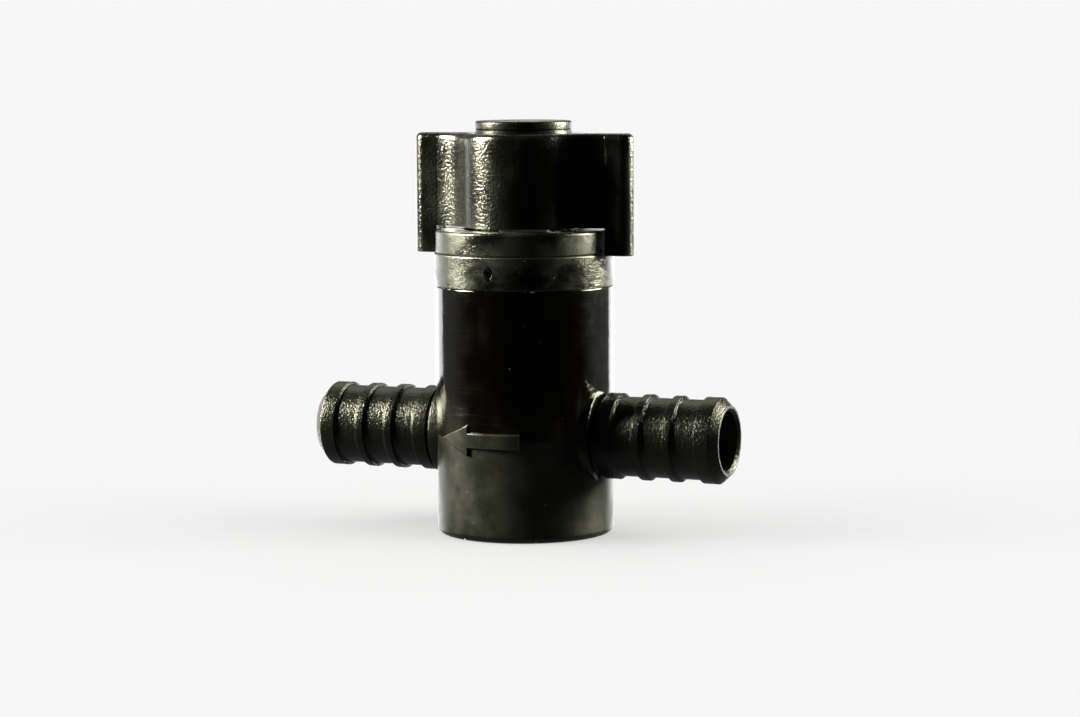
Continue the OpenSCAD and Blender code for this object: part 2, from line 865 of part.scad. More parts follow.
module handle_cap() {
    waist_top = cap_flange + cap_slope;
    skirt_outer = well_radius - push_clearance;
    color([0.03, 0.03, 0.03])
        rotate_extrude()
            polygon([
                [0, handle_top + cap_flange],
                [0, cap_top],
                [cap_radius - cap_chamfer, cap_top],
                [cap_radius, cap_top - cap_chamfer],
                [cap_radius, handle_top + waist_top],
                [cap_radius - cap_waist, handle_top + cap_flange],
                [cap_radius, handle_top + cap_flange],
                [cap_radius, handle_top],
                [skirt_outer, handle_top],
                [skirt_outer, handle_top - cap_skirt],
                [skirt_outer - cap_skirt_wall, handle_top - cap_skirt],
                [skirt_outer - cap_skirt_wall, handle_top + cap_flange]
            ]);
}

valve_body();
bonnet();
stop_ring();
bonnet_o_ring();
ball();
seat_inlet();
seat_outlet();
seat_o_ring_inlet();
seat_o_ring_outlet();
stem();
stem_o_ring_lower();
stem_o_ring_upper();
thrust_washer();
gland_bush();
stem_insert();
handle();
handle_screw();
handle_washer();
handle_cap();
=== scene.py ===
# Barbed ball valve in black plastic with grey collars and a winged knob.
# The CAD frame gives the places, this script gives the visible skins, the finishes and the light.
import json
import math
import random

import bmesh
import bpy
from mathutils import Matrix, Vector, noise


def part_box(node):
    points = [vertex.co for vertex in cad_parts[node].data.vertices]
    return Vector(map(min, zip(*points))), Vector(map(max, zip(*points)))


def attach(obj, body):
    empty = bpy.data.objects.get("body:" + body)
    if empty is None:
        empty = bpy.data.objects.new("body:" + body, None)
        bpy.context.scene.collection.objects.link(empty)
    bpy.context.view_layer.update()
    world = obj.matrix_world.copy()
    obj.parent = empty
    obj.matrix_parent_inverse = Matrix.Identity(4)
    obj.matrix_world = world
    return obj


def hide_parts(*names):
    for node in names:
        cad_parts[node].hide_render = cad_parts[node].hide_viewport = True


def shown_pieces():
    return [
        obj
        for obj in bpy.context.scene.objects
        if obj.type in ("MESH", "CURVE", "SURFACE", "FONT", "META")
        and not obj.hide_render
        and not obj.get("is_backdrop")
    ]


mm = 0.001
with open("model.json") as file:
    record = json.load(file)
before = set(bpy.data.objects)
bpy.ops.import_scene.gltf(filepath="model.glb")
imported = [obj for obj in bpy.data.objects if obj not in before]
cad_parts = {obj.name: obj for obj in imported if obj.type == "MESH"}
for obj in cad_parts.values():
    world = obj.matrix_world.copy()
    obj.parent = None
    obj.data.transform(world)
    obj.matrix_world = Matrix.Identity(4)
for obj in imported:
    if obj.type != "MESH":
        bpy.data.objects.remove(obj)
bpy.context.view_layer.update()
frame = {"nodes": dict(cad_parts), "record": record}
record = frame["record"]
print("frame loaded")

mounts = {mount["name"]: mount for mount in record["mounts"]}
portHeight = mounts["inlet_port"]["pos_m"][2] / mm
cadTop = {name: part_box(name)[1].z / mm for name in frame["nodes"]}
cadLow = {name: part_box(name)[0].z / mm for name in frame["nodes"]}
cadWide = {name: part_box(name)[1].x / mm for name in frame["nodes"]}
arrowFront = -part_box("valve_body")[0].y / mm

# walls and clearances that the pieces share, in millimetres like all sizes of the pieces
fits = {
    "ringOverhang": 0.1,
    "bodyWall": 2.2,
    "neckWall": 0.98,
    "neckHeight": 3.2,
    "push": 0.08,
    "free": 0.3,
    "guide": 3.68,         # bore that the stem turns in
    "tabHang": 0.25,       # how far the wing tabs hang below the joint of the rings
    "overlap": 0.05,       # how deep joined blocks reach into each other
    "cutPast": 1.0,        # how far a cutter runs out past the face it opens
    "cutInto": 0.1,        # how far one cutter runs into the room of the next
    "hair": 0.02,          # tolerance when a place is compared with a wall
}
ringRadius = cadWide["bonnet"]
bodyRadius = ringRadius - fits["ringOverhang"]
chamberRadius = bodyRadius - fits["bodyWall"]
neckRadius = chamberRadius + fits["neckWall"]
neckTop = cadTop["valve_body"]
rim = neckTop - fits["neckHeight"]
ringJoint = cadLow["handle"] + fits["tabHang"]


def arcCorner(before, corner, after, radius, steps=6):
    # swaps a sharp corner of an outline for a tangent arc
    a, c, b = Vector(before), Vector(corner), Vector(after)
    toA, toB = (a - c).normalized(), (b - c).normalized()
    half = toA.angle(toB) / 2
    reach = radius / math.tan(half)
    start, end = c + toA * reach, c + toB * reach
    centre = c + (toA + toB).normalized() * (radius / math.sin(half))
    points = []
    for i in range(steps + 1):
        chord = start.lerp(end, i / steps) - centre
        points.append(tuple(centre + chord.normalized() * radius))
    return points


def softOutline(corners, steps=6):
    # corners are (across, along, rounding); a rounding of 0 stays sharp
    out = []
    count = len(corners)
    for i, (x, y, rounding) in enumerate(corners):
        if rounding <= 0:
            out.append((x, y))
            continue
        before, after = corners[i - 1][:2], corners[(i + 1) % count][:2]
        out += arcCorner(before, (x, y), after, rounding, steps)
    return out


def splitLong(points, longest):
    # adds points along long straight runs so that bump and shading stay even
    out = []
    for i, p in enumerate(points):
        q = points[(i + 1) % len(points)]
        out.append(p)
        parts = int(math.dist(p, q) / longest)
        if p[0] > 0 and q[0] > 0:
            for k in range(1, parts):
                out.append((p[0] + (q[0] - p[0]) * k / parts, p[1] + (q[1] - p[1]) * k / parts))
    return out


def newPiece(name, mesh, body, materials):
    piece = bpy.data.objects.new(name, mesh)
    bpy.context.scene.collection.objects.link(piece)
    mesh.materials.clear()
    for material in materials:
        mesh.materials.append(material)
    if body:
        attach(piece, body)
    return piece


def meshFrom(bm, name):
    bmesh.ops.recalc_face_normals(bm, faces=bm.faces)
    mesh = bpy.data.meshes.new(name)
    bm.to_mesh(mesh)
    bm.free()
    return mesh


def lathe(name, outline, segments, turnToX=0):
    # turns a closed (radius, height) outline about Z; turnToX lays it along +X or -X at port height
    bm = bmesh.new()
    rings = []
    for radius, height in outline:
        if radius == 0:
            rings.append([bm.verts.new((0, 0, height * mm))])
            continue
        ring = []
        for i in range(segments):
            turn = 2 * math.pi * i / segments
            x, y = radius * mm * math.cos(turn), radius * mm * math.sin(turn)
            ring.append(bm.verts.new((x, y, height * mm)))
        rings.append(ring)
    for k, ring in enumerate(rings):
        other = rings[(k + 1) % len(rings)]
        if len(ring) == 1 and len(other) == 1:
            continue
        for i in range(segments):
            j = (i + 1) % segments
            corners = [ring[i % len(ring)], ring[j % len(ring)], other[j % len(other)], other[i % len(other)]]
            bm.faces.new(list(dict.fromkeys(corners)))
    if turnToX:
        bm.transform(Matrix.Rotation(math.pi / 2 * turnToX, 4, "Y"))
        bm.transform(Matrix.Translation((0, 0, portHeight * mm)))
    return meshFrom(bm, name)


def loft(name, layers):
    # closed skin through stacked plan outlines, each (points, height)
    bm = bmesh.new()
    rings = [[bm.verts.new((x * mm, y * mm, z * mm)) for x, y in points] for points, z in layers]
    count = len(rings[0])
    for low, high in zip(rings, rings[1:]):
        for i in range(count):
            j = (i + 1) % count
            bm.faces.new((low[i], low[j], high[j], high[i]))
    bm.faces.new(list(reversed(rings[0])))
    bm.faces.new(rings[-1])
    return meshFrom(bm, name)


def carve(mesh, tools, operation="DIFFERENCE"):
    # applies exact cuts or joins and gives back the finished mesh
    piece = bpy.data.objects.new("carving", mesh)
    bpy.context.scene.collection.objects.link(piece)
    helpers = []
    for tool in tools:
        helper = bpy.data.objects.new("carvingTool", tool)
        bpy.context.scene.collection.objects.link(helper)
        helpers.append(helper)
        cut = piece.modifiers.new("cut", "BOOLEAN")
        cut.operation = operation
        cut.object = helper
        cut.solver = "EXACT"
    bpy.context.view_layer.update()
    deps = bpy.context.evaluated_depsgraph_get()
    done = bpy.data.meshes.new_from_object(piece.evaluated_get(deps), depsgraph=deps)
    for helper in helpers:
        bpy.data.objects.remove(helper)
    bpy.data.objects.remove(piece)
    return done


def shadeByAngle(mesh, degrees):
    # welds doubled points, then keeps edges sharper than the angle crisp
    bm = bmesh.new()
    bm.from_mesh(mesh)
    bmesh.ops.remove_doubles(bm, verts=bm.verts, dist=0.0005 * mm)
    limit = math.radians(degrees)
    for face in bm.faces:
        face.smooth = True
    for edge in bm.edges:
        edge.smooth = len(edge.link_faces) == 2 and edge.calc_face_angle(math.pi) < limit
    bm.to_mesh(mesh)
    bm.free()


def weightNormals(piece):
    even = piece.modifiers.new("even normals", "WEIGHTED_NORMAL")
    even.keep_sharp = True
    even.weight = 80


def mathsNode(tree, how, a, b):
    # joins two values, each a number or a socket
    node = tree.nodes.new("ShaderNodeMath")
    node.operation = how
    for socket, value in zip(node.inputs, (a, b)):
        if isinstance(value, (int, float)):
            socket.default_value = value
        else:
            tree.links.new(value, socket)
    return node.outputs[0]


def rangeNode(tree, value, low, high, newLow, newHigh):
    # softly spreads the run from low to high over the new one
    ranged = tree.nodes.new("ShaderNodeMapRange")
    ranged.interpolation_type = "SMOOTHSTEP"
    for socket, number in zip(("From Min", "From Max", "To Min", "To Max"), (low, high, newLow, newHigh)):
        ranged.inputs[socket].default_value = number
    tree.links.new(value, ranged.inputs["Value"])
    return ranged.outputs["Result"]


class Finish:
    # thin layer over a node tree, so that each finish reads as a short list of steps
    def __init__(self, name):
        self.material = bpy.data.materials.new(name)
        self.material.use_nodes = True
        self.tree = self.material.node_tree
        self.nodes, self.links = self.tree.nodes, self.tree.links
        self.shader = self.nodes["Principled BSDF"]
        self.place = self.nodes.new("ShaderNodeTexCoord").outputs["Object"]

    def fadeUp(self, low, high):
        # 1 at the lower height and 0 at the upper one, in millimetres of the frame
        parts = self.nodes.new("ShaderNodeSeparateXYZ")
        self.links.new(self.place, parts.inputs["Vector"])
        return self.spread(parts.outputs["Z"], low * mm, high * mm, 1.0, 0.0)

    def stretched(self, x, y, z):
        mapping = self.nodes.new("ShaderNodeMapping")
        mapping.inputs["Scale"].default_value = (x, y, z)
        self.links.new(self.place, mapping.inputs["Vector"])
        return mapping.outputs["Vector"]

    def noise(self, scale, detail=3.0, rough=0.5, place=None, distortion=0.0):
        tex = self.nodes.new("ShaderNodeTexNoise")
        tex.inputs["Scale"].default_value = scale
        tex.inputs["Detail"].default_value = detail
        tex.inputs["Roughness"].default_value = rough
        tex.inputs["Distortion"].default_value = distortion
        self.links.new(place or self.place, tex.inputs["Vector"])
        return tex.outputs["Fac"]

    def dots(self, scale, low, high):
        # small round spots, 1 in the middle of each and 0 between them
        tex = self.nodes.new("ShaderNodeTexVoronoi")
        tex.inputs["Scale"].default_value = scale
        self.links.new(self.place, tex.inputs["Vector"])
        return self.spread(tex.outputs["Distance"], low, high, 1.0, 0.0)

    def spread(self, value, low, high, newLow=0.0, newHigh=1.0):
        return rangeNode(self.tree, value, low, high, newLow, newHigh)

    def maths(self, how, a, b):
        return mathsNode(self.tree, how, a, b)

    def blendColour(self, share, first, second):
        node = self.nodes.new("ShaderNodeMix")
        node.data_type = "RGBA"
        self.links.new(share, node.inputs["Factor"])
        for socket, value in ((node.inputs["A"], first), (node.inputs["B"], second)):
            if isinstance(value, tuple):
                socket.default_value = (*value, 1)
            else:
                self.links.new(value, socket)
        return node.outputs["Result"]

    def colour(self, value):
        self.links.new(value, self.shader.inputs["Base Color"])

    def gloss(self, value):
        self.links.new(value, self.shader.inputs["Roughness"])

    def bumps(self, layers):
        # layers are (height value, depth in metres), stacked
        normal = None
        for value, depth in layers:
            bump = self.nodes.new("ShaderNodeBump")
            bump.inputs["Strength"].default_value = 1.0
            bump.inputs["Distance"].default_value = depth
            self.links.new(value, bump.inputs["Height"])
            if normal:
                self.links.new(normal, bump.inputs["Normal"])
            normal = bump.outputs["Normal"]
        self.links.new(normal, self.shader.inputs["Normal"])


# in the finishes, scales count repeats per metre and depths are in metres
glossLook = {
    "plastic": (0.0004, 0.0003, 0.0002),
    "dust": (0.0030, 0.0025, 0.0017),
    "roughness": (0.08, 0.15),
    "scratch": 0.12,           # how much rougher a scratch is
    "rubbed": 0.05,            # how much rougher the body is just above the parting line
    "rubbedUpTo": 9.0,         # millimetres above that line
    "alongScale": 110,
    "downScale": 1600,
    "scratchDepth": 0.000002,
    "cloudScale": 150,
    "waveDepth": 0.00005,
    "speck": (0.2, 0.19, 0.15),
    "speckScale": 1300,
    "speckDepth": 0.00002,
}


def glossFinish():
    # polished upper half of the body: hairline scratches both ways and a few dust specks
    look = glossLook
    f = Finish("polished black plastic")
    along = f.spread(f.noise(look["alongScale"], 2.0, 0.5, f.stretched(1.0, 1.0, 60)), 0.64, 0.72)
    down = f.spread(f.noise(look["downScale"], 2.0, 0.5, f.stretched(1.0, 1.0, 0.03)), 0.70, 0.76)
    scratches = f.maths("MAXIMUM", along, down)
    cloud = f.noise(look["cloudScale"], 4.0, 0.6, distortion=0.4)
    patches = f.spread(f.noise(500, 3.0, 0.6), 0.63, 0.68)
    specks = f.maths("MULTIPLY", f.dots(look["speckScale"], 0.03, 0.09), patches)
    low = f.fadeUp(portHeight, portHeight + look["rubbedUpTo"])
    dustyLow = f.maths("MULTIPLY", low, f.spread(cloud, 0.3, 0.7))
    dusty = f.maths("MAXIMUM", f.spread(cloud, 0.55, 0.9), dustyLow)
    f.colour(f.blendColour(specks, f.blendColour(dusty, look["plastic"], look["dust"]), look["speck"]))
    rough = f.maths("ADD", f.spread(cloud, 0.35, 0.65, *look["roughness"]),
                    f.maths("MULTIPLY", low, look["rubbed"]))
    marked = f.maths("MULTIPLY", scratches, f.maths("ADD", f.maths("MULTIPLY", low, 0.7), 0.3))
    f.gloss(f.maths("ADD", rough, f.maths("MULTIPLY", marked, look["scratch"])))
    f.bumps([(cloud, look["waveDepth"]), (marked, look["scratchDepth"]), (specks, look["speckDepth"])])
    return f.material


satinLook = {
    "plastic": (0.0009, 0.0009, 0.0006),
    "haze": (0.0044, 0.0044, 0.0030),
    "roughness": (0.30, 0.44),
    "shine": 0.22,
    "grain": 7000,
    "grainDepth": 0.000010,
    "cloudScale": 90,
    "waveDepth": 0.00006,
    "rubScale": 210,
    "speck": (0.16, 0.155, 0.12),
    "speckScale": 1500,
    "speckDepth": 0.00002,
}


def satinFinish():
    # dull lower half and arrow: even, faintly clouded, with fine rubbing marks
    look = satinLook
    f = Finish("satin black plastic")
    cloud = f.noise(look["cloudScale"], 3.0, 0.5, distortion=0.3)
    rubbed = f.noise(look["rubScale"], 5.0, 0.6)
    grain = f.noise(look["grain"], 1.0)
    patches = f.spread(f.noise(420, 3.0, 0.6), 0.62, 0.68)
    specks = f.maths("MULTIPLY", f.dots(look["speckScale"], 0.04, 0.10), patches)
    clouded = f.maths("ADD", cloud, f.maths("MULTIPLY", rubbed, 0.35))
    hazed = f.blendColour(f.spread(clouded, 0.45, 0.9), look["plastic"], look["haze"])
    f.colour(f.blendColour(specks, hazed, look["speck"]))
    f.gloss(f.spread(rubbed, 0.3, 0.7, *look["roughness"]))
    f.shader.inputs["Specular IOR Level"].default_value = look["shine"]
    f.bumps([(cloud, look["waveDepth"]), (grain, look["grainDepth"]), (specks, look["speckDepth"])])
    return f.material


barbLook = {
    "plastic": (0.0012, 0.0014, 0.0010),
    "haze": (0.0030, 0.0032, 0.0022),
    "roughness": (0.19, 0.26),
    "shine": 1.0,
    "ior": 1.2,                # low, so that the outlines stay dark against the pale room
    "grain": 4200,
    "grainDepth": 0.000078,
    "cloudScale": 160,
    "glossScale": 1800,
}


def barbFinish():
    # barbs: fine even spark grain that glitters where the light meets it
    look = barbLook
    f = Finish("grained barb plastic")
    grain = f.noise(look["grain"], 1.0, 0.5)
    cloud = f.noise(look["cloudScale"], 3.0, 0.5)
    f.colour(f.blendColour(f.spread(cloud, 0.4, 0.7), look["plastic"], look["haze"]))
    f.gloss(f.spread(f.noise(look["glossScale"], 2.0), 0.35, 0.65, *look["roughness"]))
    f.shader.inputs["Specular IOR Level"].default_value = look["shine"]
    f.shader.inputs["IOR"].default_value = look["ior"]
    f.bumps([(grain, look["grainDepth"])])
    return f.material


knobLook = {
    "plastic": (0.0007, 0.0007, 0.0006),
    "worn": (0.0022, 0.0021, 0.0017),
    "roughness": (0.15, 0.25),
    "shine": 0.5,
    "grain": 3200,
    "grainDepth": 0.000058,
    "fineGrain": 6500,
    "fineDepth": 0.000012,
    "cloudScale": 130,
    "scuffScale": 260,
    "scuffed": 0.15,           # how much rougher a scuff is
}
capLook = {**knobLook, "roughness": (0.26, 0.38), "shine": 0.25, "grainDepth": 0.000035}


def knobFinish(name, look):
    # coarse leathery grain, with a few bright scuffs
    f = Finish(name)
    grain = f.noise(look["grain"], 1.0, 0.5)
    fine = f.noise(look["fineGrain"], 1.0)
    cloud = f.noise(look["cloudScale"], 4.0, 0.6, distortion=0.3)
    scuffs = f.spread(f.noise(look["scuffScale"], 3.0, 0.6, f.stretched(1.6, 1.6, 0.35)), 0.70, 0.76)
    worn = f.maths("MAXIMUM", f.spread(cloud, 0.5, 0.8), scuffs)
    f.colour(f.blendColour(worn, look["plastic"], look["worn"]))
    f.gloss(f.maths("ADD", f.spread(cloud, 0.35, 0.65, *look["roughness"]),
                    f.maths("MULTIPLY", scuffs, look["scuffed"])))
    f.shader.inputs["Specular IOR Level"].default_value = look["shine"]
    f.bumps([(grain, look["grainDepth"]), (fine, look["fineDepth"])])
    return f.material


ringLook = {
    "plastic": (0.0005, 0.0005, 0.0004),
    "smear": (0.0022, 0.0022, 0.0016),
    "nick": (0.17, 0.17, 0.14),
    "roughness": (0.17, 0.34),
    "grain": 5200,
    "grainDepth": 0.000042,
    "smearScale": 150,
    "waveScale": 200,
    "waveDepth": 0.00020,
    "nickScale": 1100,
    "nickDepth": 0.00003,
}


def ringFinish():
    # grey rings: dull and glossy smears side by side, fine grain and a few nicks
    look = ringLook
    f = Finish("smeared grey plastic")
    grain = f.noise(look["grain"], 1.0, 0.5)
    smear = f.noise(look["smearScale"], 4.0, 0.55, f.stretched(1.0, 1.0, 1.6), distortion=0.2)
    waves = f.noise(look["waveScale"], 2.0, 0.5, distortion=0.3)
    patches = f.spread(f.noise(380, 3.0, 0.6), 0.58, 0.66)
    nicks = f.maths("MULTIPLY", f.dots(look["nickScale"], 0.05, 0.12), patches)
    clouded = f.blendColour(f.spread(smear, 0.42, 0.66), look["plastic"], look["smear"])
    f.colour(f.blendColour(nicks, clouded, look["nick"]))
    f.gloss(f.spread(smear, 0.36, 0.64, *look["roughness"]))
    f.bumps([(waves, look["waveDepth"]), (grain, look["grainDepth"]), (nicks, look["nickDepth"])])
    return f.material


innerLooks = {
    "torn": {"name": "torn plastic", "colour": (0.30, 0.30, 0.25), "deepColour": (0.05, 0.05, 0.045),
             "roughness": (0.25, 0.5), "scale": 3000, "depth": 0.00001},
    "seal": {"name": "seal rubber", "colour": (0.012, 0.012, 0.012), "deepColour": (0.022, 0.022, 0.021),
             "roughness": (0.42, 0.6), "scale": 3000, "depth": 0.00001},
    "seat": {"name": "white seat plastic", "colour": (0.80, 0.80, 0.77), "deepColour": (0.74, 0.73, 0.69),
             "roughness": (0.3, 0.42), "scale": 2200, "depth": 0.000008},
    "ball": {"name": "polished ball plastic", "colour": (0.72, 0.72, 0.69), "deepColour": (0.66, 0.66, 0.63),
             "roughness": (0.12, 0.22), "scale": 1800, "depth": 0.000004},
    "stem": {"name": "natural stem plastic", "colour": (0.70, 0.68, 0.61), "deepColour": (0.62, 0.60, 0.53),
             "roughness": (0.3, 0.45), "scale": 2400, "depth": 0.00001},
    "brass": {"name": "turned brass", "colour": (0.78, 0.56, 0.22), "deepColour": (0.66, 0.46, 0.17),
              "roughness": (0.18, 0.34), "scale": 2600, "depth": 0.000008, "metal": 1.0},
    "steel": {"name": "plated steel", "colour": (0.60, 0.60, 0.61), "deepColour": (0.50, 0.50, 0.52),
              "roughness": (0.2, 0.36), "scale": 2600, "depth": 0.000008, "metal": 1.0},
}


def innerFinish(name, colour, deepColour, roughness, scale, depth, metal=0.0):
    # plain finish of the hidden working parts: mottled colour, uneven gloss, light tooling marks
    f = Finish(name)
    mottle = f.noise(scale * 0.15, 4.0, 0.6)
    marks = f.noise(scale, 3.0, 0.6, f.stretched(1.0, 1.0, 12.0))
    f.colour(f.blendColour(f.spread(mottle, 0.35, 0.7), colour, deepColour))
    f.gloss(f.spread(marks, 0.3, 0.7, *roughness))
    f.shader.inputs["Metallic"].default_value = metal
    f.bumps([(marks, depth * 0.3), (mottle, depth * 0.5)])
    return f.material


glossPlastic = glossFinish()
satinPlastic = satinFinish()
barbPlastic = barbFinish()
knobPlastic = knobFinish("grained knob plastic", knobLook)
capPlastic = knobFinish("dull cap plastic", capLook)
ringPlastic = ringFinish()
inner = {part: innerFinish(**look) for part, look in innerLooks.items()}
print("finishes made")

bodySizes = {
    "partingStep": 0.08,
    "partingLip": 0.05,
    "footRounding": 1.0,
    "footRim": 3.1,
    "footHollow": 3.0,
    "rimRounding": 0.12,
    "chamberFlat": cadWide["seat_inlet"],
    "chamberFloor": cadLow["ball"] - 1.5 * fits["free"],
    "chamberShelf": cadTop["ball"] + 3 * fits["free"],
    "segments": 224,
    "longestRun": 1.3,
    "boreReach": 3.0,          # how far outside the body the port cutter goes
    "crispAngle": 32,          # edges sharper than this many degrees stay crisp
}


def bodyOutline():
    s = bodySizes
    lower, lip = bodyRadius - s["partingStep"], s["partingLip"]
    corners = [
        (0, 0, 0),
        (lower, 0, s["footRounding"]),
        (lower, portHeight - lip, 0),
        (lower - lip, portHeight - lip / 3, 0),      # fine dark groove under the ledge
        (bodyRadius - lip / 3, portHeight, 0),
        (bodyRadius, portHeight + lip, 0),
        (bodyRadius, rim, s["rimRounding"]),
        (neckRadius, rim, 0),
        (neckRadius, neckTop, s["rimRounding"]),
        (0, neckTop, 0),
    ]
    return splitLong(softOutline(corners), s["longestRun"])


barbSizes = {
    "bore": mounts["inlet_port"]["dims"]["r_mm"],
    "crest": mounts["inlet_barb"]["dims"]["r_mm"],
    "crestRise": 0.45,
    "bossRise": 0.8,           # beyond the rib crests
    "bossFace": bodyRadius - 0.4,
    "rootRib": bodyRadius + 0.4,
    "rootRibWidth": 1.9,
    "ribs": 2,
    "pitch": 4.55,
    "ribCrest": 1.05,
    "ramp": 0.45,
    "lipCrest": 2.1,
    "end": cadWide["valve_body"],
    "taper": 1.2,
    "drop": 1.15,
    "mouthFlare": 0.4,
    "edge": 0.09,
    "hollow": 0.13,
    "bossEdge": 0.22,
    "rootGap": 0.01,           # the root starts this far outside the flat wall of the chamber
    "portMargin": 0.1,
    "segments": 160,
}


def barbOutline():
    s = barbSizes
    shank, crest, edge, hollow = s["crest"] - s["crestRise"], s["crest"], s["edge"], s["hollow"]
    boss, inside = s["crest"] + s["bossRise"], bodySizes["chamberFlat"] + s["rootGap"]
    rootEnd = s["rootRib"] + s["rootRibWidth"]
    corners = [
        (s["bore"], inside, 0),
        (boss, inside, 0),
        (boss, s["bossFace"], s["bossEdge"]),
        (shank, s["bossFace"], hollow),
        (shank, s["rootRib"], hollow),
        (crest, s["rootRib"], edge),
        (crest, rootEnd, edge),
        (shank, rootEnd + s["ramp"], hollow),
    ]
    for i in range(s["ribs"]):
        end = rootEnd + (i + 1) * s["pitch"]
        corners += [
            (shank, end - s["ribCrest"], hollow),
            (crest, end - s["ribCrest"], edge),
            (crest, end, 2 * edge),
            (shank, end + s["ramp"], hollow),
        ]
    lip = s["end"] - s["taper"] - s["lipCrest"]
    corners += [
        (shank, lip, hollow),
        (crest, lip, edge),
        (crest, lip + s["lipCrest"], 3 * edge),
        (crest - s["drop"], s["end"], edge),
        (s["bore"] + s["mouthFlare"], s["end"], edge),
        (s["bore"], s["end"] - s["mouthFlare"], edge / 2),
    ]
    return splitLong(softOutline(corners, 5), bodySizes["longestRun"])


arrowSizes = {
    "tip": 8.65,
    "neck": 3.4,
    "tail": 4.26,
    "head": 4.6,
    "shaft": 2.35,
    "edge": 0.16,
    "sunk": 0.13,
    "margin": 0.5,
    "step": 0.1,
    "outlineShare": 0.2,       # share of the height already reached on the outline itself
    "crispAngle": 60,
}


def arrowEdgeDistance(x, z):
    # distance inside the arrow outline (positive) or outside (negative), seen from the front
    s = arrowSizes
    slope = (s["head"] / 2) / (s["tip"] - s["neck"])
    headSide = ((x + s["tip"]) * slope - abs(z)) / math.hypot(1, slope)
    inHead = min(headSide, -s["neck"] - x)
    inShaft = min(s["shaft"] / 2 - abs(z), s["tail"] - x, x + s["neck"] + s["shaft"] / 2)
    return max(inHead, inShaft)


def flowArrow():
    # raised plate that follows the round of the body, with soft moulded edges
    s = arrowSizes
    step, margin = s["step"], s["margin"]
    columns = int((s["tip"] + s["tail"] + 2 * margin) / step)
    rows = int((s["head"] + 2 * margin) / step)
    bm = bmesh.new()
    grid = {}
    for i in range(columns + 1):
        for k in range(rows + 1):
            x = -s["tip"] - margin + i * step
            z = -s["head"] / 2 - margin + k * step
            inside = arrowEdgeDistance(x, z)
            if inside < -1.5 * step:
                continue
            share = max(0.0, min(1.0, inside / s["edge"] + s["outlineShare"]))
            low = bodyRadius - s["sunk"]
            r = low + (arrowFront - low) * share * share * (3 - 2 * share)
            grid[i, k] = bm.verts.new((x * mm, -math.sqrt(r * r - x * x) * mm, (portHeight + z) * mm))
    for (i, k), corner in grid.items():
        others = [grid.get((i + 1, k)), grid.get((i + 1, k + 1)), grid.get((i, k + 1))]
        if all(others):
            bm.faces.new((corner, *others))
    bmesh.ops.delete(bm, geom=[v for v in bm.verts if not v.link_faces], context="VERTS")
    openEdges = [e for e in bm.edges if len(e.link_faces) == 1]
    skirt = bmesh.ops.extrude_edge_only(bm, edges=openEdges)["geom"]
    skirtPoints = [g for g in skirt if isinstance(g, bmesh.types.BMVert)]
    bmesh.ops.translate(bm, verts=skirtPoints, vec=(0, 2 * s["sunk"] * mm, 0))
    return meshFrom(bm, "flowArrow")


def chamberPlan():
    # round room with two flat walls beside the ball
    flat, steps = bodySizes["chamberFlat"], 24
    corner = math.acos(flat / chamberRadius)
    plan = []
    for side in (0, math.pi):
        for i in range(steps + 1):
            turn = side + corner + (math.pi - 2 * corner) * i / steps
            plan.append((chamberRadius * math.cos(turn), chamberRadius * math.sin(turn)))
    return plan


def roundCutter(radius, low, high, segments=128, turnToX=0):
    return lathe("cutter", [(0, low), (radius, low), (radius, high), (0, high)], segments, turnToX)


def bodyShell():
    s, b = bodySizes, barbSizes
    outside = lathe("bodyOutside", bodyOutline(), s["segments"])
    plan, shelf = chamberPlan(), s["chamberShelf"]
    lowerRoom = loft("lowerRoom", [(plan, s["chamberFloor"]), (plan, shelf + fits["cutInto"])])
    upperRoom = roundCutter(chamberRadius, shelf, neckTop + fits["cutPast"])
    hollow = roundCutter(bodyRadius - s["partingStep"] - s["footRim"], -fits["cutPast"], s["footHollow"])
    hollowed = carve(outside, [lowerRoom, upperRoom, hollow])
    sides = (1, -1)
    joined = carve(hollowed, [lathe("barb", barbOutline(), b["segments"], side) for side in sides], "UNION")
    inside, past = s["chamberFlat"] - fits["cutPast"], bodyRadius + s["boreReach"]
    return carve(joined, [roundCutter(b["bore"], inside, past, b["segments"], side) for side in sides])


def sortFinishes(mesh):
    # polished above the parting line, satin below it, grained on the barbs and in the ports
    polished, satin, grained = range(3)          # in the order of the shell's materials
    for face in mesh.polygons:
        at = face.center / mm
        outside = math.hypot(at.x, at.y) > bodyRadius + fits["hair"]
        inPort = math.hypot(at.y, at.z - portHeight) < barbSizes["bore"] + barbSizes["portMargin"]
        if outside or inPort:
            face.material_index = grained
        else:
            face.material_index = polished if at.z > portHeight else satin


print("shaping the body")
shellMesh = bodyShell()
shadeByAngle(shellMesh, bodySizes["crispAngle"])
shell = newPiece("bodyShell", shellMesh, "housing", [glossPlastic, satinPlastic, barbPlastic])
sortFinishes(shellMesh)
weightNormals(shell)
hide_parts("valve_body")

arrowMesh = flowArrow()
shadeByAngle(arrowMesh, arrowSizes["crispAngle"])
newPiece("flowArrow", arrowMesh, "housing", [satinPlastic])


ringSizes = {
    "low": rim + 0.03,
    "high": ringJoint - 0.02,
    "skirtGap": fits["push"],
    "plug": chamberRadius - fits["push"],
    "core": chamberRadius - fits["push"] - 2.0,
    "plugLow": cadLow["bonnet"],
    "plugFloor": 3.05,         # thickness over the collar room
    "thrust": 1.35,            # depth of the collar room
    "collarRoom": 5.2,
    "tower": fits["guide"] + 2.2,
    "towerTop": ringJoint - 1.15,
    "bush": fits["guide"] + 1.2,
    "bushDepth": 3.4,
    "groove": 1.1,
    "grooveHalf": 0.61,
    "grooveAt": (cadLow["bonnet_o_ring"] + cadTop["bonnet_o_ring"]) / 2,
    "bottomEdge": 0.16,
    "edge": 0.22,
    "segments": 256,
    "crispAngle": 35,
}


